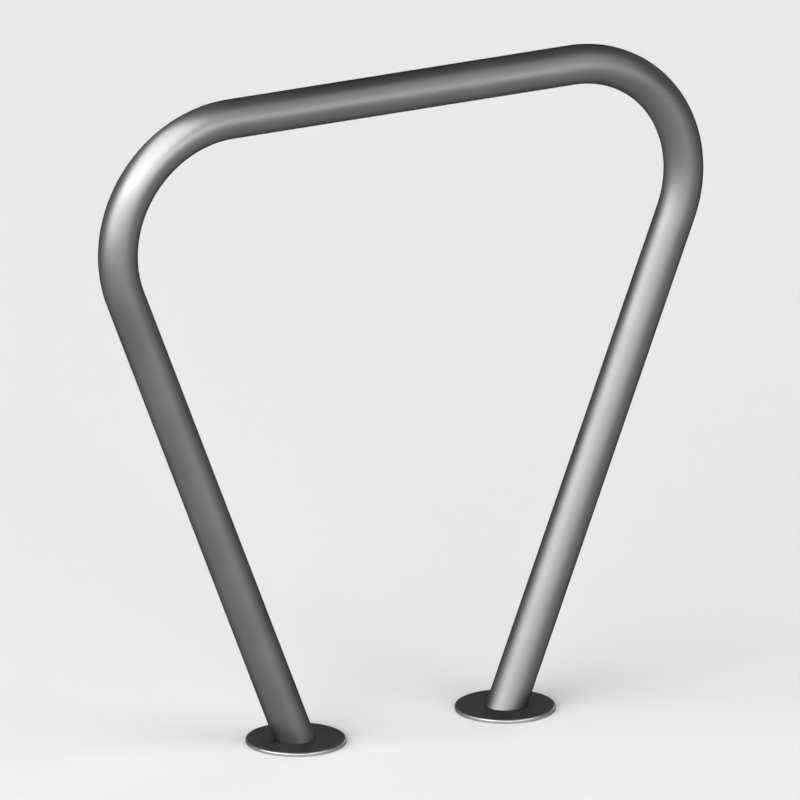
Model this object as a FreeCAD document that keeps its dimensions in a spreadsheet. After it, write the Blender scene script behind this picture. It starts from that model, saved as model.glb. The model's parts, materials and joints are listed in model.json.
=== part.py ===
import FreeCAD, Part
import os

import Sketcher
from FreeCAD import Placement, Rotation, Vector

# A bicycle rack: one steel tube bent into an upside-down trapezoid. Each foot of the tube is welded
# from below into a round flange with countersunk screw holes, and a thin pressed cover that slides on
# the leg hides the flange and its screws.
# Frame: the floor is z = 0, the origin is midway between the feet, +X runs along the top rail to the
# right foot and +Z is up.

doc = FreeCAD.newDocument("bike_rack")
sheet = doc.addObject("Spreadsheet::Sheet", "sizes")

# Driving dimensions, in millimetres.
DIMENSIONS = {
    # The hoop, over its outside.
    "overall_width": 814,
    "overall_height": 828,
    "tube_diameter": 48.3,
    "tube_wall": 2.6,
    # Between the axes of the two legs, at the floor.
    "foot_spacing": 283,
    # Of the tube's axis, in both bends.
    "bend_radius": 152,
    # The hidden flange that the foot is welded into.
    "flange_diameter": 114,
    "flange_thickness": 4,
    "flange_tube_clearance": 0.2,
    # Countersunk screw holes, with their middles this far in from the flange's edge.
    "screw_count": 4,
    "screw_edge_distance": 10,
    "screw_hole": 7,
    "screw_sink": 13,
    # The tube ends this far above the floor, and the weld fills the flange's hole below it.
    "weld_height": 2,
    "weld_clearance": 0.05,
    # The cover that slides on the leg and rests on the flange, with a rounded fold between its top and skirt.
    "cover_sheet": 1,
    "cover_side_gap": 3,
    "cover_fold_inner_radius": 1,
    "cover_bore_clearance": 0.4,
    "cover_floor_gap": 0.4,
}

# Sizes that follow from those. The leg is the straight line that starts on the foot's axis at the floor
# and runs into the outer side of the bend without a corner.
DERIVED = {
    "tube_radius": "tube_diameter / 2",
    "tube_bore_radius": "tube_radius - tube_wall",
    "rail_height": "overall_height - tube_radius",
    "bend_centre_x": "overall_width / 2 - tube_radius - bend_radius",
    "bend_centre_z": "rail_height - bend_radius",
    "foot_x": "foot_spacing / 2",
    "foot_to_bend": "sqrt((bend_centre_x - foot_x) ^ 2 + bend_centre_z ^ 2)",
    "leg_angle": "atan((bend_centre_x - foot_x) / bend_centre_z) + asin(bend_radius / foot_to_bend)",
    "foot_hole_radius": "tube_radius + flange_tube_clearance",
    "screw_circle": "flange_diameter - 2 * screw_edge_distance",
    "weld_radius": "foot_hole_radius - weld_clearance",
    "cover_hollow_radius": "flange_diameter / 2 + cover_side_gap",
    "cover_radius": "cover_hollow_radius + cover_sheet",
    "cover_height": "flange_thickness + cover_sheet",
    "cover_fold_outer_radius": "cover_fold_inner_radius + cover_sheet",
    "cover_bore_radius": "tube_radius + cover_bore_clearance",
    # Enough of the leg's length to cross the foot's pieces at a slant.
    "foot_reach": "2 * tube_diameter",
}

for row, (alias, value) in enumerate(DIMENSIONS.items(), start=1):
    sheet.set(f"A{row}", alias)
    sheet.set(f"B{row}", str(value))
    sheet.setAlias(f"B{row}", alias)
for row, (alias, formula) in enumerate(DERIVED.items(), start=len(DIMENSIONS) + 1):
    sheet.set(f"A{row}", alias)
    sheet.set(f"B{row}", "=" + formula)
    sheet.setAlias(f"B{row}", alias)
doc.recompute()


def size(formula):
    """What a formula of the sheet's cells gives now, in millimetres or degrees."""
    value = sheet.evalExpression(formula)
    return float(getattr(value, "Value", value))


def new_body(name, side=0):
    """An empty body, with its origin at the middle of the rack or at the foot of one side."""
    body = doc.addObject("PartDesign::Body", name)
    body.Label = name
    body.setExpression("Placement.Base.x", f"{side} * sizes.foot_x")
    return body


def base_plane(body, role):
    return next(plane for plane in body.Origin.OriginFeatures if plane.Role == role)


def new_sketch(body, name, role="XY_Plane", **offsets):
    """A sketch on a base plane of its own body, moved along that plane's x, y or z by formulas."""
    sketch = body.newObject("Sketcher::SketchObject", name)
    sketch.AttachmentSupport = (base_plane(body, role), "")
    sketch.MapMode = "FlatFace"
    for direction, formula in offsets.items():
        sketch.setExpression("AttachmentOffset.Base." + direction, formula)
    return sketch


def dimension(sketch, formula, *constraint):
    """A dimension of a sketch, tied to the sheet."""
    index = sketch.addConstraint(Sketcher.Constraint(*constraint, size(formula)))
    sketch.setExpression(f"Constraints[{index}]", formula)


def add_circle(sketch, radius):
    """A circle about the sketch's origin."""
    index = sketch.addGeometry(Part.Circle(Vector(0, 0, 0), Vector(0, 0, 1), size(radius)))
    sketch.addConstraint(Sketcher.Constraint("Coincident", index, 3, -1, 1))
    dimension(sketch, radius, "Radius", index)


def add_feature(body, kind, name, sketch, **formulas):
    """A feature made from a sketch, with its properties tied to the sheet."""
    made = body.newObject("PartDesign::" + kind, name)
    made.Profile = sketch
    for prop, formula in formulas.items():
        made.setExpression(prop, formula)
    return made


def cut_level(body, name, upwards, **offsets):
    """Cuts off all of a foot piece above or below a level plane."""
    plane = new_sketch(body, name + "_plane", **offsets)
    add_circle(plane, "sizes.foot_reach")
    cut = add_feature(body, "Pocket", name, plane)
    cut.Type = "ThroughAll"
    cut.Reversed = upwards
    return cut


def leg_sketch(body, name, side, *radii):
    """Circles about the leg's axis, in a plane square to the leg through the foot."""
    sketch = new_sketch(body, name)
    lean = Rotation(Vector(0, side, 0), size("sizes.leg_angle"))
    sketch.AttachmentOffset = Placement(Vector(0, 0, 0), lean)
    sketch.setExpression("AttachmentOffset.Rotation.Angle", "sizes.leg_angle")
    for radius in radii:
        add_circle(sketch, radius)
    return sketch


def cut_along_leg(body, name, side, radius):
    """Bores a foot piece right through, along the leaning leg."""
    outline = leg_sketch(body, name + "_outline", side, radius)
    bore = add_feature(body, "Pocket", name, outline, Length="sizes.foot_reach")
    bore.SideType = "Symmetric"
    return bore


def round_edge(body, name, height, radius):
    """Rounds the level edge of a body that lies at a height above the floor."""
    doc.recompute()
    base = body.Tip
    away = [abs(edge.BoundBox.Center.z - size(height)) + edge.BoundBox.ZLength for edge in base.Shape.Edges]
    rounded = body.newObject("PartDesign::Fillet", name)
    rounded.Base = (base, [f"Edge{away.index(min(away)) + 1}"])
    rounded.setExpression("Radius", radius)
    return rounded


def make_hoop_tube():
    """The right half of the tube, swept along its axis and cut level at the foot, then mirrored."""
    body = new_body("hoop_tube")

    bend_centre = Vector(size("sizes.bend_centre_x"), size("sizes.bend_centre_z"), 0)
    bend_radius = size("sizes.bend_radius")
    rail_end = bend_centre + Vector(0, bend_radius, 0)
    lean = Rotation(Vector(0, 0, -1), size("sizes.leg_angle"))
    leg_end = bend_centre + lean.multVec(Vector(bend_radius, 0, 0))
    outwards = (rail_end - bend_centre + leg_end - bend_centre).normalize()
    foot = Vector(size("sizes.foot_x"), 0, 0)
    below = foot + (foot - leg_end).normalize() * size("sizes.tube_diameter")

    axis = new_sketch(body, "tube_axis", "XZ_Plane")
    rail = axis.addGeometry(Part.LineSegment(Vector(0, rail_end.y, 0), rail_end))
    bend = axis.addGeometry(Part.Arc(leg_end, bend_centre + outwards * bend_radius, rail_end))
    leg = axis.addGeometry(Part.LineSegment(leg_end, below))
    foot_mark = axis.addGeometry(Part.Point(foot), True)
    axis.addConstraint(Sketcher.Constraint("PointOnObject", rail, 1, -2))
    axis.addConstraint(Sketcher.Constraint("Horizontal", rail))
    axis.addConstraint(Sketcher.Constraint("Tangent", rail, 2, bend, 2))
    axis.addConstraint(Sketcher.Constraint("Tangent", bend, 1, leg, 1))
    axis.addConstraint(Sketcher.Constraint("PointOnObject", foot_mark, 1, -1))
    axis.addConstraint(Sketcher.Constraint("PointOnObject", foot_mark, 1, leg))
    dimension(axis, "sizes.rail_height", "DistanceY", -1, 1, rail, 1)
    dimension(axis, "sizes.bend_centre_x", "DistanceX", -1, 1, bend, 3)
    dimension(axis, "sizes.bend_radius", "Radius", bend)
    dimension(axis, "sizes.foot_x", "DistanceX", -1, 1, foot_mark, 1)
    dimension(axis, "sizes.tube_diameter", "Distance", foot_mark, 1, leg, 2)

    section = new_sketch(body, "tube_section", "YZ_Plane", y="sizes.rail_height")
    add_circle(section, "sizes.tube_radius")
    add_circle(section, "sizes.tube_bore_radius")
    half = add_feature(body, "AdditivePipe", "half_tube", section)
    half.Spine = (axis, ["Edge1", "Edge2", "Edge3"])
    end = cut_level(body, "tube_end", upwards=False, x="sizes.foot_x", z="sizes.weld_height")
    whole = body.newObject("PartDesign::Mirrored", "whole_tube")
    whole.Originals = [half, end]
    whole.MirrorPlane = (base_plane(body, "YZ_Plane"), [""])
    body.Tip = whole
    return body


def make_mounting_flange(name, side):
    """A round plate with a slanting hole for the foot and a circle of countersunk screw holes."""
    body = new_body(name, side)
    outline = new_sketch(body, name + "_outline")
    add_circle(outline, "sizes.flange_diameter / 2")
    add_feature(body, "Pad", name + "_plate", outline, Length="sizes.flange_thickness")
    cut_along_leg(body, name + "_foot_hole", side, "sizes.foot_hole_radius")
    doc.recompute()

    # The holes stand at 45 degrees to the rail, clear of the leaning leg.
    mark = new_sketch(body, name + "_screw_mark", z="sizes.flange_thickness")
    dot = mark.addGeometry(Part.Circle(Vector(1, 1, 0), Vector(0, 0, 1), size("sizes.screw_hole / 2")))
    for direction in ("DistanceX", "DistanceY"):
        dimension(mark, "sizes.screw_circle / 2 * cos(45 deg)", direction, -1, 1, dot, 3)
    dimension(mark, "sizes.screw_hole", "Diameter", dot)
    doc.recompute()
    hole = add_feature(body, "Hole", name + "_screw_hole", mark, Diameter="sizes.screw_hole")
    hole.DepthType = "ThroughAll"
    hole.HoleCutType = "Countersink"
    hole.HoleCutCustomValues = True
    hole.setExpression("HoleCutDiameter", "sizes.screw_sink")
    holes = body.newObject("PartDesign::PolarPattern", name + "_screw_holes")
    holes.Originals = [hole]
    holes.Axis = (outline, ["N_Axis"])
    holes.setExpression("Occurrences", "sizes.screw_count")
    body.Tip = holes
    return body


def make_flange_weld(name, side):
    """The ring of weld below the tube's end, inside the flange's hole and ground level with it."""
    body = new_body(name, side)
    ring = leg_sketch(body, name + "_ring", side, "sizes.weld_radius", "sizes.tube_bore_radius")
    bead = add_feature(body, "Pad", name + "_bead", ring, Length="sizes.foot_reach")
    bead.SideType = "Symmetric"
    cut_level(body, name + "_top", upwards=True, z="sizes.weld_height")
    cut_level(body, name + "_ground", upwards=False)
    return body


def make_flange_cover(name, side):
    """A shallow pressed cap that rests on the flange, stops just short of the floor and lets the leg by."""
    body = new_body(name, side)
    outline = new_sketch(body, name + "_outline", z="sizes.cover_floor_gap")
    add_circle(outline, "sizes.cover_radius")
    add_feature(body, "Pad", name + "_cap", outline, Length="sizes.cover_height - sizes.cover_floor_gap")
    hollow = new_sketch(body, name + "_hollow_outline", z="sizes.flange_thickness")
    add_circle(hollow, "sizes.cover_hollow_radius")
    shell = add_feature(body, "Pocket", name + "_hollow", hollow)
    shell.Type = "ThroughAll"
    round_edge(body, name + "_outer_fold", "sizes.cover_height", "sizes.cover_fold_outer_radius")
    round_edge(body, name + "_inner_fold", "sizes.flange_thickness", "sizes.cover_fold_inner_radius")
    cut_along_leg(body, name + "_leg_hole", side, "sizes.cover_bore_radius")
    return body


pieces = [make_hoop_tube()]
for prefix, side in (("left", -1), ("right", 1)):
    pieces.append(make_mounting_flange(prefix + "_mounting_flange", side))
    pieces.append(make_flange_weld(prefix + "_flange_weld", side))
    pieces.append(make_flange_cover(prefix + "_flange_cover", side))
doc.recompute()

for made in doc.Objects:
    if "Invalid" in made.State or "Error" in made.State:
        raise RuntimeError(f"{made.Label} could not be made: {made.State}")
for piece in pieces:
    if piece.Shape.isNull() or not piece.Shape.isValid() or len(piece.Shape.Solids) != 1:
        raise RuntimeError(f"{piece.Label} is not one sound solid")

os.makedirs("parts", exist_ok=True)
for piece in pieces:
    piece.Shape.exportStep(f"parts/{piece.Label}.step")
    box = piece.Shape.optimalBoundingBox(False, False)
    print(f"{piece.Label}: {piece.Shape.Volume:.0f} mm3,"
          f" x {box.XMin:.2f} to {box.XMax:.2f}, z {box.ZMin:.2f} to {box.ZMax:.2f}")
print(f"The legs lean {size('sizes.leg_angle'):.3f} degrees from upright.")
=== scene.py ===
# %% [markdown]
# A bike rack in Blender
# The rack is one round steel tube, bent twice into an upside-down trapezoid. Each foot stands on a round
# flange that is screwed to the ground, and a thin pressed cover hides the screws. This lesson loads the
# measured model as a frame, models the pieces that show, gives every surface its finish and lights it.

# %% Load the measured model
import json
import math

import bmesh
import bpy
from mathutils import Matrix, Vector


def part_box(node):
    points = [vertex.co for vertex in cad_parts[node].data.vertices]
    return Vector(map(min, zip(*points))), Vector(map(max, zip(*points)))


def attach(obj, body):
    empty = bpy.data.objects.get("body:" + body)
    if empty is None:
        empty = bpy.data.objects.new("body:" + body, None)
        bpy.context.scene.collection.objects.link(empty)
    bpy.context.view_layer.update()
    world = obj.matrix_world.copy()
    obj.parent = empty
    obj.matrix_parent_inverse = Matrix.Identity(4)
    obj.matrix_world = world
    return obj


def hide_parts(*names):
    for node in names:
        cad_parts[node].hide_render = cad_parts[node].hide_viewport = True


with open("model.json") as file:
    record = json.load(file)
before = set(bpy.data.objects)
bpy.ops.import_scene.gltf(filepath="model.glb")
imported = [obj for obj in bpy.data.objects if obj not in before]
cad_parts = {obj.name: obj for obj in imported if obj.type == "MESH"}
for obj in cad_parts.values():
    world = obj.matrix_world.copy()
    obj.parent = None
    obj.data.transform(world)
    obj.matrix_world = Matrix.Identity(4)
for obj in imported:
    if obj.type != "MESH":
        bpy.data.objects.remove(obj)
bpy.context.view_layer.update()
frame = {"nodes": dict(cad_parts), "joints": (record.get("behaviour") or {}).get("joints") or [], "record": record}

print("pieces of the measured model:", sorted(frame["nodes"]))

# %% [markdown]
# The hoop's sizes
# Everything that follows is built around the measured model, so the sizes are read from it and not typed
# again. The tube's box gives its radius, its rail's height and its width. The mounts give the feet, and
# the direction in which a cover slides gives the lean of the legs. One size is hidden: the radius of the
# bends. A bend touches the rail's line and the leg's line, and only one radius does that at this width.

# %% Read the sizes from the frame
MM_PER_M = 1000

tube_low, tube_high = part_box("hoop_tube")
tube_radius = tube_high.y
rail_height = tube_high.z - tube_radius
half_width = tube_high.x - tube_radius

mounts = {mount["name"]: mount for mount in frame["record"]["mounts"]}
foot_x = mounts["right_screws"]["pos_m"][0]

joints = {joint["name"]: joint for joint in frame["joints"]}
leg_direction = Vector(joints["right_cover_slide"]["axis"])
lean = math.atan2(leg_direction.x, leg_direction.z)

# The point at full width and rail height lies inside the leg's line, so its reach beyond it is negative.
reach_out = (half_width - foot_x) * math.cos(lean) - rail_height * math.sin(lean)
bend_radius = reach_out / (math.cos(lean) - math.sin(lean) - 1)
bend_x = half_width - bend_radius
bend_z = rail_height - bend_radius
bend_turn = math.pi / 2 + lean
leg_length = Vector((bend_x - foot_x, 0, bend_z)).dot(leg_direction)
print(f"legs lean {math.degrees(lean):.2f} degrees, bends have a radius of {bend_radius * MM_PER_M:.1f} mm")

# %% [markdown]
# The camera
# The rack is seen from the front left and from a little above, and lines that are parallel on the rack
# stay parallel in the picture. A long lens from far away would come close to that, but an orthographic
# camera does it exactly, and its scale is simply pixels per metre. Its angles and its scale come from
# matching the tube's outline, and the place of the rack's origin in the picture gives the point to look
# at.

# %% Place the camera
VIEW_AZIMUTH = math.radians(-26.94)
VIEW_ELEVATION = math.radians(18.20)
IMAGE_PIXELS = 800
PIXELS_PER_METRE = 828.68
ORIGIN_PIXEL = (400.65, 724.81)
CAMERA_DISTANCE = 4.0
CAMERA_SIGHT = 100

to_right = Vector((math.cos(VIEW_AZIMUTH), math.sin(VIEW_AZIMUTH), 0))
to_camera = Vector((math.sin(VIEW_AZIMUTH), -math.cos(VIEW_AZIMUTH), 0)) * math.cos(VIEW_ELEVATION)
to_camera.z = math.sin(VIEW_ELEVATION)
to_top = to_camera.cross(to_right)

picture_middle = IMAGE_PIXELS / 2
look_at = to_right * (picture_middle - ORIGIN_PIXEL[0]) / PIXELS_PER_METRE
look_at += to_top * (ORIGIN_PIXEL[1] - picture_middle) / PIXELS_PER_METRE

camera_data = bpy.data.cameras.new("rack_camera")
camera_data.type = "ORTHO"
camera_data.ortho_scale = IMAGE_PIXELS / PIXELS_PER_METRE
camera_data.clip_end = CAMERA_SIGHT
camera = bpy.data.objects.new("rack_camera", camera_data)
camera.location = look_at + to_camera * CAMERA_DISTANCE
camera.rotation_euler = to_camera.to_track_quat("Z", "Y").to_euler()
bpy.context.scene.collection.objects.link(camera)
bpy.context.scene.camera = camera
print(f"the picture is {camera_data.ortho_scale:.3f} m wide")

# %% [markdown]
# The bent tube
# On the real rack a straight tube goes into a bending machine, which turns it round a former twice. A
# curve with a round bevel would look alike, but the same steps as in the workshop give a cleaner mesh:
# draw the tube's circle, pull it up the leg, spin it round the bend's centre, pull the rail, spin again
# and pull the second leg down. That skin then gets the tube's wall. Its normals are set right before
# that, because on a closed wall the same operator would turn the inner side round.

# %% Bend the tube
TUBE_WALL = 0.0026
TUBE_SIDES = 96
BEND_STEPS = 64

foot_overlap = 2 * tube_radius * math.tan(lean)
up_left_leg = Vector((-leg_direction.x, 0, leg_direction.z))
down_right_leg = -leg_direction
start = Vector((-foot_x, 0, 0)) - up_left_leg * foot_overlap


def ring_of(result):
    """The open edges among what an operator made, and their vertices."""
    edges = [item for item in result if isinstance(item, bmesh.types.BMEdge) and not item.link_faces[1:]]
    verts = list({vert for edge in edges for vert in edge.verts})
    return edges, verts


def pull(bm, edges, transform):
    """Extrudes a ring of edges and transforms the new ring."""
    made = bmesh.ops.extrude_edge_only(bm, edges=edges)["geom"]
    edges, verts = ring_of(made)
    bmesh.ops.transform(bm, matrix=transform, verts=verts)
    return edges, verts


def bend(bm, edges, verts, side):
    """Spins a ring of edges round the left (-1) or the right (1) bend."""
    centre = Vector((side * bend_x, 0, bend_z))
    turned = bmesh.ops.spin(
        bm, geom=edges + verts, cent=centre, axis=(0, 1, 0), angle=bend_turn, steps=BEND_STEPS
    )
    return ring_of(turned["geom_last"])


tube = bmesh.new()
square_to_leg = Matrix.Translation(start) @ Matrix.Rotation(-lean, 4, "Y")
bmesh.ops.create_circle(tube, segments=TUBE_SIDES, radius=tube_radius, matrix=square_to_leg)
leg_reach = leg_length + foot_overlap
edges, verts = pull(tube, tube.edges[:], Matrix.Translation(up_left_leg * leg_reach))
edges, verts = bend(tube, edges, verts, -1)
edges, verts = pull(tube, edges, Matrix.Translation((2 * bend_x, 0, 0)))
edges, verts = bend(tube, edges, verts, 1)
edges, verts = pull(tube, edges, Matrix.Translation(down_right_leg * leg_reach))
bmesh.ops.recalc_face_normals(tube, faces=tube.faces[:])
bmesh.ops.solidify(tube, geom=tube.faces[:], thickness=TUBE_WALL)
print(f"bent tube before sawing: {len(tube.faces)} faces, legs {leg_length * MM_PER_M:.0f} mm long")

# %% [markdown]
# The sawn feet
# The legs lean, but each stands on a level flange, so their ends are sawn at a slant. An oval could be
# drawn level from the start, but a bend has to begin with a ring that is square to the tube. So both legs
# reach below the floor, one level plane saws off what is too long, and a bridge closes the wall at each
# cut.

# %% Saw the feet off level
CM3_PER_M3 = 1e6

bmesh.ops.bisect_plane(
    tube,
    geom=tube.verts[:] + tube.edges[:] + tube.faces[:],
    plane_co=(0, 0, tube_low.z),
    plane_no=(0, 0, 1),
    clear_inner=True,
)
for side in (-1, 1):
    sawn = [edge for edge in tube.edges if edge.is_boundary and edge.verts[0].co.x * side > 0]
    bmesh.ops.bridge_loops(tube, edges=sawn)
open_edges = sum(not edge.is_manifold for edge in tube.edges)
tube_volume = tube.calc_volume() * CM3_PER_M3
print(f"bent tube: {len(tube.faces)} faces, {open_edges} open edges, {tube_volume:.1f} cm3")

# %% [markdown]
# The tube as it was before bending
# The tube was ground to its satin finish before it was bent, so the fine grinding marks run round the
# tube and follow it through both bends. A pattern in plain object space would cut across the bends. Each
# vertex therefore remembers where it lay on the straight tube: how far along, and where round the
# section.

# %% Note each vertex's place on the straight tube


def unbend(point):
    """Where a point of the hoop lay when the tube was straight: along x, with y and z round its section."""
    from_centre = Vector((abs(point.x) - bend_x, 0, point.z - bend_z))
    angle = math.atan2(from_centre.x, from_centre.z)
    # A leg's foot lies more than half a turn round the bend's centre, where atan2 counts back from zero.
    if angle < -math.pi / 2:
        angle += 2 * math.pi
    angle = min(max(angle, 0), bend_turn)
    outwards = Vector((math.sin(angle), 0, math.cos(angle)))
    onwards = Vector((math.cos(angle), 0, -math.sin(angle)))
    along = bend_x + bend_radius * angle + from_centre.dot(onwards)
    return Vector((math.copysign(along, point.x), point.y, from_centre.dot(outwards) - bend_radius))


straight_tube = tube.verts.layers.float_vector.new("straight_tube")
for vert in tube.verts:
    vert[straight_tube] = unbend(vert.co)
cut_length = max(vert[straight_tube].x for vert in tube.verts) * 2
print(f"the tube was cut {cut_length * MM_PER_M:.0f} mm long before it was bent")

# %% [markdown]
# From bmesh to a piece
# A finished bmesh becomes an object at the origin, shaded smooth with its real corners kept sharp. The
# editor's own operators would need the right mode and selection first, so the mesh is filled straight
# from the bmesh. The piece rides on a body of the frame, so that it moves with it, and stands for the
# plain piece that it replaces.

# %% Make a piece of the bent tube
CORNER_ANGLE = math.radians(35)


def make_piece(name, bm, body, node):
    """Turns a bmesh into a piece that rides on a body and stands for a node of the frame."""
    mesh = bpy.data.meshes.new(name)
    bm.to_mesh(mesh)
    bm.free()
    mesh.shade_smooth()
    mesh.set_sharp_from_angle(angle=CORNER_ANGLE)
    piece = bpy.data.objects.new(name, mesh)
    bpy.context.scene.collection.objects.link(piece)
    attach(piece, body)
    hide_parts(node)
    print(f"{name}: {len(mesh.polygons)} faces, stands for {node}")
    return piece


bent_tube = make_piece("bent_tube", tube, "hoop", "hoop_tube")

# %% [markdown]
# The flange covers
# Each cover is a shallow cap pressed from thin sheet: a flat top, a rounded fold and a short skirt. The
# leg leans, so the hole for it is an oval that shifts sideways through the sheet. A lathe-like spin can't
# make that, but one ring can: it is pulled up the skirt, in over the top, down through the hole, out
# under the sheet and down inside the skirt, and changes its size on the way.

# %% Pull a ring round each sheet
COVER_SHEET = 0.001
COVER_HOLE_CLEARANCE = 0.0004
COVER_SIDES = 128
MERGE_DISTANCE = 1e-6


def oval(centre, radius_x, radius_y):
    """Takes a unit circle to a level oval."""
    return Matrix.Translation(centre) @ Matrix.Diagonal((radius_x, radius_y, 1, 1))


def ovals_of_sheet(side, low, high):
    """The ovals that the ring fills on its way round the sheet, at the left (-1) or the right (1) foot."""
    radius = high.y
    hollow_radius = radius - COVER_SHEET
    under_sheet = high.z - COVER_SHEET
    hole_y = tube_radius + COVER_HOLE_CLEARANCE
    hole_x = hole_y / math.cos(lean)

    def on_axis(height):
        return Vector((side * foot_x, 0, height))

    def on_leg(height):
        return Vector((side * (foot_x + height * math.tan(lean)), 0, height))

    return {
        "skirt_foot": oval(on_axis(low.z), radius, radius),
        "top_edge": oval(on_axis(high.z), radius, radius),
        "hole_rim": oval(on_leg(high.z), hole_x, hole_y),
        "hole_foot": oval(on_leg(under_sheet), hole_x, hole_y),
        "hollow_edge": oval(on_axis(under_sheet), hollow_radius, hollow_radius),
        "hollow_foot": oval(on_axis(low.z), hollow_radius, hollow_radius),
    }


def pull_round(ovals):
    """Pulls a ring from oval to oval and back to the first, and gives the closed sheet and its rings."""
    sheet = bmesh.new()
    here = ovals["skirt_foot"]
    bmesh.ops.create_circle(sheet, segments=COVER_SIDES, radius=1, matrix=here)
    ring = sheet.edges[:]
    rings = {}
    for name in ("top_edge", "hole_rim", "hole_foot", "hollow_edge", "hollow_foot", "skirt_foot"):
        ring, verts = pull(sheet, ring, ovals[name] @ here.inverted())
        rings[name] = ring
        here = ovals[name]
    bmesh.ops.remove_doubles(sheet, verts=sheet.verts[:], dist=MERGE_DISTANCE)
    if sheet.calc_volume(signed=True) < 0:
        bmesh.ops.reverse_faces(sheet, faces=sheet.faces[:])
    return sheet, rings


sheets = {}
for side, word in ((-1, "left"), (1, "right")):
    low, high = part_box(f"{word}_flange_cover")
    sheets[word] = pull_round(ovals_of_sheet(side, low, high))
    print(f"{word} cover: {len(sheets[word][0].faces)} faces with sharp edges")

# %% [markdown]
# The covers' fold and rim
# Sheet can't be folded to a sharp edge: the press leaves a small radius inside the fold, and outside it
# the same radius and the sheet's thickness. The hole's rim is only broken with a file. Rounded ovals
# between the others would give that too, but a bevel does it in one step, and its width is the radius
# itself.

# %% Round the covers' edges
COVER_FOLD_INNER_RADIUS = 0.001
HOLE_EDGE_BREAK = 0.0002
FOLD_STEPS = 8
EDGE_BREAK_STEPS = 2

roundings = (
    ("top_edge", COVER_FOLD_INNER_RADIUS + COVER_SHEET, FOLD_STEPS),
    ("hole_rim", HOLE_EDGE_BREAK, EDGE_BREAK_STEPS),
    ("hollow_edge", COVER_FOLD_INNER_RADIUS, FOLD_STEPS),
)
for word, (sheet, rings) in sheets.items():
    for name, width, steps in roundings:
        bmesh.ops.bevel(
            sheet,
            geom=rings[name],
            offset=width,
            affect="EDGES",
            segments=steps,
            profile=0.5,
            material=-1,
        )
    print(f"{word} cover: {len(sheet.faces)} faces with rounded edges")

# %% [markdown]
# The covers' flat faces
# Pressed sheet is flat right up to its fold, but smooth shading blends the normals of neighbouring faces,
# so the fold's shine would creep over the flat top and the skirt. Weighted normals would stop that in a
# modifier. A narrow inset round the flat faces does the same in the mesh itself, and every program that
# reads the mesh keeps it.

# %% Hold the flat faces and make pieces of the covers
HOLDING_MARGIN = 0.0003
LEVEL_TOLERANCE = 1e-7
UPRIGHT_TOLERANCE = 1e-4


def is_top(face, height):
    """Whether a face lies level at the height of the top."""
    return all(abs(vert.co.z - height) < LEVEL_TOLERANCE for vert in face.verts)


def is_skirt(face, axis, middle_radius):
    """Whether a face stands upright on the outer side of the sheet."""
    from_axis = face.calc_center_median() - axis
    return abs(face.normal.z) < UPRIGHT_TOLERANCE and from_axis.xy.length > middle_radius


covers = []
for side, word in ((-1, "left"), (1, "right")):
    node = f"{word}_flange_cover"
    low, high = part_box(node)
    axis = Vector((side * foot_x, 0, 0))
    middle_radius = high.y - COVER_SHEET / 2
    sheet, rings = sheets[word]
    top = [face for face in sheet.faces if is_top(face, high.z)]
    bmesh.ops.inset_region(sheet, faces=top, thickness=HOLDING_MARGIN, use_even_offset=True)
    skirt = [face for face in sheet.faces if is_skirt(face, axis, middle_radius)]
    bmesh.ops.inset_region(sheet, faces=skirt, thickness=HOLDING_MARGIN, use_even_offset=True)
    open_edges = sum(not edge.is_manifold for edge in sheet.edges)
    print(f"{word} cover: {open_edges} open edges, {sheet.calc_volume() * CM3_PER_M3:.2f} cm3")
    covers.append(make_piece(f"{word}_pressed_cover", sheet, f"{word}_cover", node))

# %% [markdown]
# Colours and nodes
# Colours are written as sRGB hex values, the way a colour chart gives them, and one function turns them
# into the linear light that shaders work in. Typed linear values would save that, but nobody can picture
# them. A second small function adds a node, sets it and links it. A noise node gives values from 0 to 1
# in theory, but nearly all of them lie in a narrower spread, which is noted here for the finishes.

# %% Helpers for materials
NOISE_LOW = 0.3
NOISE_HIGH = 0.7


def linear(hex_colour):
    """An sRGB hex value as a linear colour with full alpha, by the formula of the sRGB standard."""
    colour = []
    for place in (1, 3, 5):
        value = int(hex_colour[place:place + 2], 16) / 255
        colour.append(value / 12.92 if value <= 0.04045 else ((value + 0.055) / 1.055) ** 2.4)
    return colour + [1]


def add_node(tree, kind, inputs=None, **settings):
    """Adds a node, sets its properties, and fills its sockets with values or with links."""
    node = tree.nodes.new(kind)
    for name, value in settings.items():
        setattr(node, name, value)
    for socket, value in (inputs or {}).items():
        if isinstance(value, bpy.types.NodeSocket):
            tree.links.new(value, node.inputs[socket])
        else:
            node.inputs[socket].default_value = value
    return node


def new_material(name):
    """An empty node material and its tree."""
    material = bpy.data.materials.new(name)
    material.use_nodes = True
    material.node_tree.nodes.clear()
    return material, material.node_tree


print("linear value of a mid grey:", round(linear("#808080")[0], 3))

# %% [markdown]
# What all the steels share
# Every steel here ends in the same three nodes: a bump node for the relief of its surface, the metal
# itself and the output. A metal's colour is its reflection, so the base colour is a dark neutral grey
# that the lamps turn into highlights. The edge tint darkens it where a face turns away from the eye,
# because the fine marks in worked steel trap light there. The patterns differ from finish to finish, so
# they come in from outside.

# %% The last nodes of a steel
PLAIN_EDGE_TINT = linear("#8B8B8B")


def finish_steel(tree, colour, roughness, relief, depth, edge_tint=PLAIN_EDGE_TINT):
    """Joins the patterns of a steel to the metal: relief is a height from 0 to 1, depth its real size."""
    bump = add_node(tree, "ShaderNodeBump", {"Height": relief, "Strength": 1, "Distance": depth})
    steel = add_node(
        tree, "ShaderNodeBsdfPrincipled",
        {
            "Base Color": colour,
            "Metallic": 1,
            "Roughness": roughness,
            "Specular Tint": edge_tint,
            "Normal": bump.outputs["Normal"],
        },
    )
    add_node(tree, "ShaderNodeOutputMaterial", {"Surface": steel.outputs["BSDF"]})
    print(f"{len(tree.nodes)} nodes in this steel")


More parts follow.
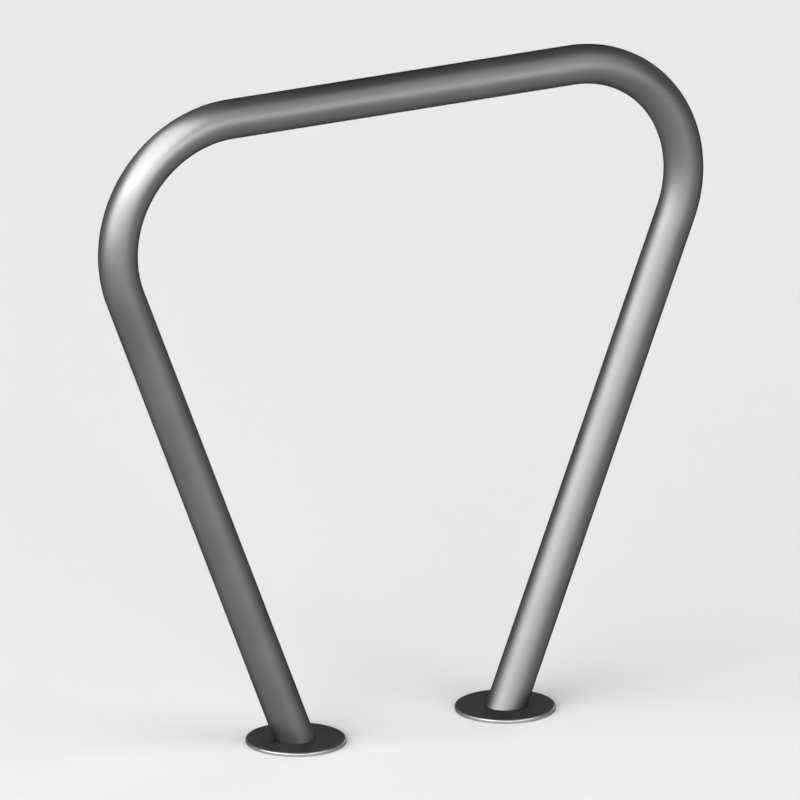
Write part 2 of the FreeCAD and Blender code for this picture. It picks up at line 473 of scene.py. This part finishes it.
print("the plain edge tint in linear light:", round(PLAIN_EDGE_TINT[0], 3))

# %% [markdown]
# The tube: satin ground stainless steel
# The tube was ground with an abrasive belt that runs round it. That leaves fine lines round the tube and
# a soft, wide highlight. The eye reads the satin from three things: the roughness that wavers from line
# to line, a faint relief, and slow clouds where the belt pressed harder. A wave texture could draw the
# lines, but they would be too even. Two noises make everything instead, one squeezed along the straight
# tube and one plain. Real belt lines are about 0.1 mm apart, far finer than a pixel here, so they are
# drawn 0.9 mm apart. Of the four steels this one darkens most towards its edges, so it has an edge tint
# of its own.

# %% The tube's belt lines and clouds
BELT_LINE_PITCH = 0.0009
BELT_LINE_LENGTH = 0.05
BELT_LINE_OCTAVES = 3
BELT_LINE_HARSHNESS = 0.6
CLOUD_SIZE = 0.07
CLOUD_OCTAVES = 2

satin_ground_steel, tree = new_material("satin_ground_stainless_steel")
on_tube = add_node(tree, "ShaderNodeAttribute", attribute_name="straight_tube").outputs["Vector"]
belt_scale = (1 / BELT_LINE_PITCH, 1 / BELT_LINE_LENGTH, 1 / BELT_LINE_LENGTH)
squeezed = add_node(tree, "ShaderNodeMapping", {"Vector": on_tube, "Scale": belt_scale})
lines = add_node(
    tree, "ShaderNodeTexNoise",
    {
        "Vector": squeezed.outputs["Vector"],
        "Scale": 1,
        "Detail": BELT_LINE_OCTAVES,
        "Roughness": BELT_LINE_HARSHNESS,
    },
)
clouds = add_node(
    tree, "ShaderNodeTexNoise",
    {"Vector": on_tube, "Scale": 1 / CLOUD_SIZE, "Detail": CLOUD_OCTAVES},
)
print(f"about {cut_length / BELT_LINE_PITCH:.0f} belt lines along the tube")

# %% The tube's finish
BELT_LINE_DEPTH = 0.00004
TUBE_DULL = linear("#626262")
TUBE_BRIGHT = linear("#6C6C6C")
TUBE_EDGE_TINT = linear("#606060")
TUBE_SMOOTHEST = 0.40
TUBE_ROUGHEST = 0.52

colour = add_node(
    tree, "ShaderNodeMix",
    {"Factor": clouds.outputs["Fac"], "A": TUBE_DULL, "B": TUBE_BRIGHT}, data_type="RGBA",
)
wear = add_node(
    tree, "ShaderNodeMath", {0: lines.outputs["Fac"], 1: clouds.outputs["Fac"]}, operation="ADD"
)
roughness = add_node(
    tree, "ShaderNodeMapRange",
    {
        "Value": wear.outputs[0],
        "From Min": 2 * NOISE_LOW,
        "From Max": 2 * NOISE_HIGH,
        "To Min": TUBE_SMOOTHEST,
        "To Max": TUBE_ROUGHEST,
    },
)
finish_steel(
    tree, colour.outputs["Result"], roughness.outputs["Result"], lines.outputs["Fac"], BELT_LINE_DEPTH,
    edge_tint=TUBE_EDGE_TINT,
)
bent_tube.data.materials.append(satin_ground_steel)

# %% [markdown]
# The covers: spun satin sheet with a burnished fold and a painted highlight
# A cover blank turns against an abrasive pad, so its fine lines are circles round its middle. The press
# then draws the rim through a polished ring, which burnishes the fold and the skirt to a smoother band.
# That band is also painted paler, partly for the burnish and partly as a painted highlight on the rim.
# Both follow the distance from the foot's axis, and that is easy to get from object coordinates: the two
# feet mirror each other, so the size of x is used, less the foot's own x. The lines' noise reads the
# distance and the direction, and not an angle, because an angle would leave a seam where it starts
# again. The circles are drawn 1.2 mm apart, about ten times as coarse as real ones, so that they show at
# all.

# %% The covers' spun lines
SPUN_LINE_PITCH = 0.0012
SPUN_LINE_BREAKS = 2.5
SPUN_LINE_OCTAVES = 2


def from_foot(tree):
    """The level vector from the axis of the nearer foot, worked out from object coordinates."""
    place = add_node(tree, "ShaderNodeTexCoord").outputs["Object"]
    parts = add_node(tree, "ShaderNodeSeparateXYZ", {"Vector": place})
    size_x = add_node(tree, "ShaderNodeMath", {0: parts.outputs["X"]}, operation="ABSOLUTE")
    out_x = add_node(tree, "ShaderNodeMath", {0: size_x.outputs[0], 1: foot_x}, operation="SUBTRACT")
    level = add_node(tree, "ShaderNodeCombineXYZ", {"X": out_x.outputs[0], "Y": parts.outputs["Y"]})
    return level.outputs["Vector"]


spun_satin_steel, tree = new_material("spun_satin_stainless_sheet")
outwards = from_foot(tree)
distance = add_node(tree, "ShaderNodeVectorMath", {0: outwards}, operation="LENGTH").outputs["Value"]
direction = add_node(tree, "ShaderNodeVectorMath", {0: outwards}, operation="NORMALIZE").outputs["Vector"]
turns = add_node(tree, "ShaderNodeMath", {0: distance, 1: SPUN_LINE_PITCH}, operation="DIVIDE").outputs[0]
lift = add_node(tree, "ShaderNodeCombineXYZ", {"Z": turns}).outputs["Vector"]
on_circles = add_node(
    tree, "ShaderNodeVectorMath",
    {0: direction, 1: (SPUN_LINE_BREAKS, SPUN_LINE_BREAKS, 0), 2: lift}, operation="MULTIPLY_ADD",
)
lines = add_node(
    tree, "ShaderNodeTexNoise",
    {"Vector": on_circles.outputs["Vector"], "Scale": 1, "Detail": SPUN_LINE_OCTAVES},
)
cover_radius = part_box("right_flange_cover")[1].y
print(f"about {(cover_radius - tube_radius) / SPUN_LINE_PITCH:.0f} circles from the leg to the rim")

# %% The covers' finish
SPUN_LINE_DEPTH = 0.000008
# Width and blur of the rim band that carries the burnish and the painted highlight.
BURNISH_AND_HIGHLIGHT_WIDTH = 0.0026
BURNISH_AND_HIGHLIGHT_BLUR = 0.0016
COVER_DULL = linear("#686868")
COVER_BRIGHT = linear("#787878")
# The band's paler colour is partly the burnish and partly a painted highlight on the rim.
COVER_BURNISH_AND_HIGHLIGHT = linear("#979797")
COVER_SMOOTHEST = 0.38
COVER_ROUGHEST = 0.48
BURNISHED_ROUGHNESS = 0.32

# The band at the rim where the burnish and the painted highlight lie.
burnish_and_highlight_start = cover_radius - BURNISH_AND_HIGHLIGHT_WIDTH
burnish_and_highlight = add_node(
    tree, "ShaderNodeMapRange",
    {"Value": distance, "From Min": burnish_and_highlight_start, "From Max": burnish_and_highlight_start + BURNISH_AND_HIGHLIGHT_BLUR},
    interpolation_type="SMOOTHSTEP",
)
satin = add_node(
    tree, "ShaderNodeMix",
    {"Factor": lines.outputs["Fac"], "A": COVER_DULL, "B": COVER_BRIGHT}, data_type="RGBA",
)
# Mixes in the rim band's paler colour: the burnish's own tone and a painted highlight.
colour = add_node(
    tree, "ShaderNodeMix",
    {"Factor": burnish_and_highlight.outputs["Result"], "A": satin.outputs["Result"], "B": COVER_BURNISH_AND_HIGHLIGHT},
    data_type="RGBA",
)
waver = add_node(
    tree, "ShaderNodeMapRange",
    {
        "Value": lines.outputs["Fac"],
        "From Min": NOISE_LOW,
        "From Max": NOISE_HIGH,
        "To Min": COVER_SMOOTHEST,
        "To Max": COVER_ROUGHEST,
    },
)
roughness = add_node(
    tree, "ShaderNodeMix",
    {"Factor": burnish_and_highlight.outputs["Result"], "A": waver.outputs["Result"], "B": BURNISHED_ROUGHNESS},
    data_type="FLOAT",
)
finish_steel(
    tree, colour.outputs["Result"], roughness.outputs["Result"], lines.outputs["Fac"], SPUN_LINE_DEPTH
)
for cover in covers:
    cover.data.materials.append(spun_satin_steel)

# %% [markdown]
# The flanges: pickled laser-cut plate
# The flanges hide under the covers, and show when a cover is slid up its leg. Their measured shape is
# right as it is, so they only get a finish. They are plain plate, cut by a laser and pickled clean of
# scale: matt and grainy on the faces, with fine upright streaks on every cut edge. One noise gives both,
# because it is stretched upright: seen from above only its fine grain shows, and on an edge its streaks.
# The weld below has left a ring of heat tint round the foot hole, blue inside and straw further out. Real
# grain is about 0.1 mm wide, and is drawn 0.8 mm wide so that it shows.

# %% The flanges' grain and heat tint
PLATE_GRAIN = 0.0008
PLATE_GRAIN_OCTAVES = 2
CUT_STREAK_LENGTH = 0.02
HEAT_BLUE_WIDTH = 0.0024
HEAT_STRAW_WIDTH = 0.0065

pickled_plate, tree = new_material("pickled_laser_cut_plate")
place = add_node(tree, "ShaderNodeTexCoord").outputs["Object"]
grain_scale = (1 / PLATE_GRAIN, 1 / PLATE_GRAIN, 1 / CUT_STREAK_LENGTH)
upright = add_node(tree, "ShaderNodeMapping", {"Vector": place, "Scale": grain_scale})
grain = add_node(
    tree, "ShaderNodeTexNoise",
    {"Vector": upright.outputs["Vector"], "Scale": 1, "Detail": PLATE_GRAIN_OCTAVES},
)
distance = add_node(tree, "ShaderNodeVectorMath", {0: from_foot(tree)}, operation="LENGTH").outputs["Value"]
blue_edge = tube_radius + HEAT_BLUE_WIDTH
straw_edge = blue_edge + HEAT_STRAW_WIDTH
to_straw = add_node(
    tree, "ShaderNodeMapRange",
    {"Value": distance, "From Min": tube_radius, "From Max": blue_edge}, interpolation_type="SMOOTHSTEP",
)
to_plate = add_node(
    tree, "ShaderNodeMapRange",
    {"Value": distance, "From Min": blue_edge, "From Max": straw_edge}, interpolation_type="SMOOTHSTEP",
)
print(f"the heat tint ends {(straw_edge - tube_radius) * MM_PER_M:.1f} mm from the tube")

# %% The flanges' finish
PLATE_GRAIN_DEPTH = 0.00002
PLATE_DULL = linear("#7A7A77")
PLATE_BRIGHT = linear("#989894")
HEAT_BLUE = linear("#59616F")
HEAT_STRAW = linear("#857A63")
PLATE_SMOOTHEST = 0.5
PLATE_ROUGHEST = 0.62

plate = add_node(
    tree, "ShaderNodeMix",
    {"Factor": grain.outputs["Fac"], "A": PLATE_DULL, "B": PLATE_BRIGHT}, data_type="RGBA",
)
heat = add_node(
    tree, "ShaderNodeMix",
    {"Factor": to_straw.outputs["Result"], "A": HEAT_BLUE, "B": HEAT_STRAW}, data_type="RGBA",
)
colour = add_node(
    tree, "ShaderNodeMix",
    {"Factor": to_plate.outputs["Result"], "A": heat.outputs["Result"], "B": plate.outputs["Result"]},
    data_type="RGBA",
)
roughness = add_node(
    tree, "ShaderNodeMapRange",
    {
        "Value": grain.outputs["Fac"],
        "From Min": NOISE_LOW,
        "From Max": NOISE_HIGH,
        "To Min": PLATE_SMOOTHEST,
        "To Max": PLATE_ROUGHEST,
    },
)
finish_steel(
    tree, colour.outputs["Result"], roughness.outputs["Result"], grain.outputs["Fac"], PLATE_GRAIN_DEPTH
)
for word in ("left", "right"):
    frame["nodes"][f"{word}_mounting_flange"].data.materials[0] = pickled_plate

# %% [markdown]
# The welds: weld metal ground flush
# Each foot is welded to its flange from below, and the bead is ground off so that the flange lies flat.
# An angle grinder leaves coarse, slightly curved scratches in weld metal that is a little warmer in
# colour than the plate. The scratches are a noise that is squeezed along one direction and bent by a
# second, slow noise, because straight scratches would look like rolled sheet. Real ones are about 0.4 mm
# apart, and are drawn 1 mm apart.

# %% The welds' scratches
SCRATCH_PITCH = 0.001
SCRATCH_LENGTH = 0.03
SCRATCH_TURN = math.radians(35)
SCRATCH_OCTAVES = 3
SCRATCH_HARSHNESS = 0.65
SWEEP_SIZE = 0.04
SWEEP_REACH = 0.006
SWEEP_OCTAVES = 0

ground_weld, tree = new_material("weld_metal_ground_flush")
place = add_node(tree, "ShaderNodeTexCoord").outputs["Object"]
sweep = add_node(
    tree, "ShaderNodeTexNoise", {"Vector": place, "Scale": 1 / SWEEP_SIZE, "Detail": SWEEP_OCTAVES}
)
reach = (SWEEP_REACH, SWEEP_REACH, SWEEP_REACH)
swept = add_node(
    tree, "ShaderNodeVectorMath", {0: sweep.outputs["Color"], 1: reach, 2: place}, operation="MULTIPLY_ADD"
)
turned = add_node(
    tree, "ShaderNodeMapping",
    {"Vector": swept.outputs["Vector"], "Rotation": (0, 0, SCRATCH_TURN)},
)
scratch_scale = (1 / SCRATCH_LENGTH, 1 / SCRATCH_PITCH, 1 / SCRATCH_LENGTH)
squeezed = add_node(tree, "ShaderNodeMapping", {"Vector": turned.outputs["Vector"], "Scale": scratch_scale})
scratches = add_node(
    tree, "ShaderNodeTexNoise",
    {
        "Vector": squeezed.outputs["Vector"],
        "Scale": 1,
        "Detail": SCRATCH_OCTAVES,
        "Roughness": SCRATCH_HARSHNESS,
    },
)
print(f"about {2 * tube_radius / SCRATCH_PITCH:.0f} scratches across a weld")

# %% The welds' finish
SCRATCH_DEPTH = 0.00003
WELD_DULL = linear("#6A655C")
WELD_BRIGHT = linear("#8C877C")
WELD_SMOOTHEST = 0.34
WELD_ROUGHEST = 0.5

colour = add_node(
    tree, "ShaderNodeMix",
    {"Factor": scratches.outputs["Fac"], "A": WELD_DULL, "B": WELD_BRIGHT}, data_type="RGBA",
)
roughness = add_node(
    tree, "ShaderNodeMapRange",
    {
        "Value": scratches.outputs["Fac"],
        "From Min": NOISE_LOW,
        "From Max": NOISE_HIGH,
        "To Min": WELD_SMOOTHEST,
        "To Max": WELD_ROUGHEST,
    },
)
finish_steel(
    tree, colour.outputs["Result"], roughness.outputs["Result"], scratches.outputs["Fac"], SCRATCH_DEPTH
)
for word in ("left", "right"):
    frame["nodes"][f"{word}_flange_weld"].data.materials[0] = ground_weld

# %% [markdown]
# The floor
# The floor is plain and pale, and wide enough to fill the picture behind the rack, also when the camera
# looks from lower down. A backdrop that curves up would do it with less, but it has a front and a back,
# and a round floor looks alike from every side. It is matt, so a diffuse shader is all it needs.

# %% Lay the floor
FLOOR_RADIUS = 14
FLOOR_GAP = 0.0001
FLOOR_SIDES = 96
FLOOR_PALE = linear("#E7E7E7")

floor_mesh = bpy.data.meshes.new("studio_floor")
disc = bmesh.new()
bmesh.ops.create_circle(
    disc,
    cap_ends=True,
    segments=FLOOR_SIDES,
    radius=FLOOR_RADIUS,
    matrix=Matrix.Translation((0, 0, -FLOOR_GAP)),
)
disc.to_mesh(floor_mesh)
disc.free()
floor = bpy.data.objects.new("studio_floor", floor_mesh)
bpy.context.scene.collection.objects.link(floor)
paper, tree = new_material("matt_pale_paper")
surface = add_node(tree, "ShaderNodeBsdfDiffuse", {"Color": FLOOR_PALE})
add_node(tree, "ShaderNodeOutputMaterial", {"Surface": surface.outputs["BSDF"]})
floor_mesh.materials.append(paper)
print(f"the floor is {2 * FLOOR_RADIUS} m wide")

# %% [markdown]
# The light
# A satin tube shows each lamp as a soft stripe, so the lamps shape it. Area lamps at a studio's distance
# would fall off across the floor. Very wide sun lamps act as softboxes that stand far away: their light
# is even, so the floor stays one plain grey, and shadows stay soft. Most of them stand low, because a low
# lamp lights the upright tube more than the floor. The two on the left light the left bend and the right
# leg, the three in front the rail and the left leg, and the high one the top of the rail. The last one
# stands behind the rack on the right, so that the tube has a highlight from that side too.

# %% Hang the lamps
LAMP_DISTANCE = 3


def towards(azimuth, elevation):
    """A direction from the rack: azimuth 0 is the front and negative is to the left, in degrees."""
    turn = math.radians(azimuth)
    rise = math.radians(elevation)
    return Vector((math.sin(turn) * math.cos(rise), -math.cos(turn) * math.cos(rise), math.sin(rise)))


def hang(name, data, direction, place):
    """Puts a lamp at a place, shining back along its direction."""
    lamp = bpy.data.objects.new(name, data)
    lamp.rotation_euler = direction.to_track_quat("Z", "Y").to_euler()
    lamp.location = place
    bpy.context.scene.collection.objects.link(lamp)
    return lamp


def far_softbox(name, azimuth, elevation, width, strength):
    """A wide sun lamp, with its width in degrees."""
    data = bpy.data.lights.new(name, "SUN")
    data.energy = strength
    data.angle = math.radians(width)
    direction = towards(azimuth, elevation)
    hang(name, data, direction, direction * LAMP_DISTANCE)
    print(f"{name}: {width} degrees wide, {elevation} degrees above the floor")


far_softbox("left_softbox", azimuth=-96, elevation=14, width=34, strength=1.87)
far_softbox("front_left_softbox", azimuth=-60, elevation=8, width=55, strength=4.98)
far_softbox("front_softbox", azimuth=-18, elevation=5, width=26, strength=1.56)
far_softbox("front_strip_softbox", azimuth=9, elevation=4, width=15, strength=0.90)
far_softbox("front_right_softbox", azimuth=25, elevation=10, width=40, strength=0.78)
far_softbox("front_top_softbox", azimuth=40, elevation=44, width=40, strength=0.68)
far_softbox("back_right_softbox", azimuth=128, elevation=2, width=46, strength=1.30)

# %% [markdown]
# The light on the left bend
# The tube is brightest on the left bend and much darker right beside it. A far lamp can't do that,
# because it lights everything that faces it. So a small softbox stands close to the bend, where its light
# fades within a few centimetres. It would stand in the picture, so it is hidden from the camera.

# %% Stand a small softbox by the left bend
BEND_SOFTBOX_SIDE = 0.21
BEND_SOFTBOX_WATTS = 0.87
BEND_SOFTBOX_PLACE = Vector((-0.385, -0.045, 0.845))
BEND_SOFTBOX_AZIMUTH = -62.7
BEND_SOFTBOX_ELEVATION = 54

panel = bpy.data.lights.new("bend_softbox", "AREA")
panel.shape = "SQUARE"
panel.size = BEND_SOFTBOX_SIDE
panel.energy = BEND_SOFTBOX_WATTS
bend_direction = towards(BEND_SOFTBOX_AZIMUTH, BEND_SOFTBOX_ELEVATION)
bend_softbox = hang("bend_softbox", panel, bend_direction, BEND_SOFTBOX_PLACE)
bend_softbox.visible_camera = False
print(f"bend softbox: {BEND_SOFTBOX_SIDE * MM_PER_M:.0f} mm square, {BEND_SOFTBOX_WATTS} W")

# %% [markdown]
# The room
# The covers lie flat and look up into the room, so the room's grey is what they show. A sky that changes
# from bottom to top could be used, but then their tone would change with the view, so the world is one
# dim neutral grey. With the lamps it lights the floor at a plain level, at which the floor's colour
# renders about as it is written. The standard view keeps every colour as it is.

# %% Fill the room with dim light
ROOM_GREY = linear("#8E8E8E")

world = bpy.data.worlds.new("dim_studio")
bpy.context.scene.world = world
world.use_nodes = True
world.node_tree.nodes.clear()
air = add_node(world.node_tree, "ShaderNodeBackground", {"Color": ROOM_GREY, "Strength": 1})
add_node(world.node_tree, "ShaderNodeOutputWorld", {"Surface": air.outputs["Background"]})

bpy.context.scene.view_settings.view_transform = "Standard"
print("the room's grey in linear light:", round(ROOM_GREY[0], 3))
